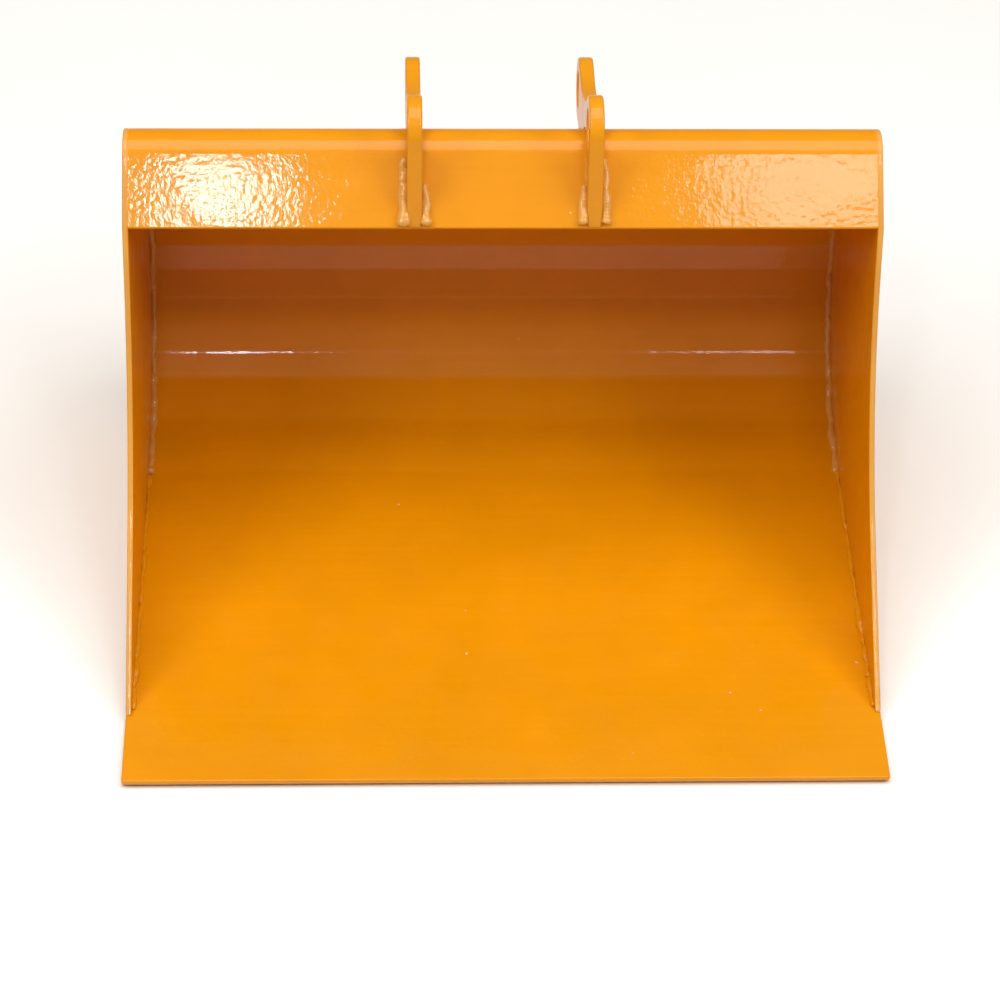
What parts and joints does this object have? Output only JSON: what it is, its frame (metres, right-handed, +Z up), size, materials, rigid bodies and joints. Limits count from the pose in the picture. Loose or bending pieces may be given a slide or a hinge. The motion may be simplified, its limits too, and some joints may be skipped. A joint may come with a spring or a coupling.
{
  "type": "excavator bucket",
  "caption": "Welded plate digger bucket with a curved back, a straight toothless lip, hollow-fronted side plates and hanger ears drilled for pins.",
  "frame": {"origin": "middle of the bottom of the bounding box: under the floor, halfway across the bucket and halfway between the lip and the back", "axes": "+X across the bucket towards its right side plate as seen from the mouth, the mouth and lip face -Y, the back faces +Y, +Z up from the floor the bucket stands on"},
  "size_m": [0.5, 0.432, 0.3325],
  "materials": {
    "plate_paint": "thick glossy orange-yellow enamel over rolled plate, with fine orange peel",
    "edge_paint": "the same enamel on the cutting edge, a little duller along the lip",
    "ear_paint": "the same enamel over thick profiled plate with softened edges",
    "weld_paint": "the same enamel pooled over rough weld beads"
  },
  "bodies": {
    "root": {"wrapper": "plate_paint", "cutting_edge": "edge_paint", "side_plate_left": "plate_paint", "side_plate_right": "plate_paint", "ear_left": "ear_paint", "ear_right": "ear_paint", "weld_floor_seam": "weld_paint", "weld_floor_left": "weld_paint", "weld_floor_right": "weld_paint", "weld_back_left": "weld_paint", "weld_back_right": "weld_paint", "weld_roof_left": "weld_paint", "weld_roof_right": "weld_paint", "weld_foot_left": "weld_paint", "weld_foot_right": "weld_paint", "weld_ear_left_outside_front": "weld_paint", "weld_ear_left_inside_front": "weld_paint", "weld_ear_left_outside_rear": "weld_paint", "weld_ear_left_inside_rear": "weld_paint", "weld_ear_right_outside_front": "weld_paint", "weld_ear_right_inside_front": "weld_paint", "weld_ear_right_outside_rear": "weld_paint", "weld_ear_right_inside_rear": "weld_paint"}
  },
  "joints": []
}
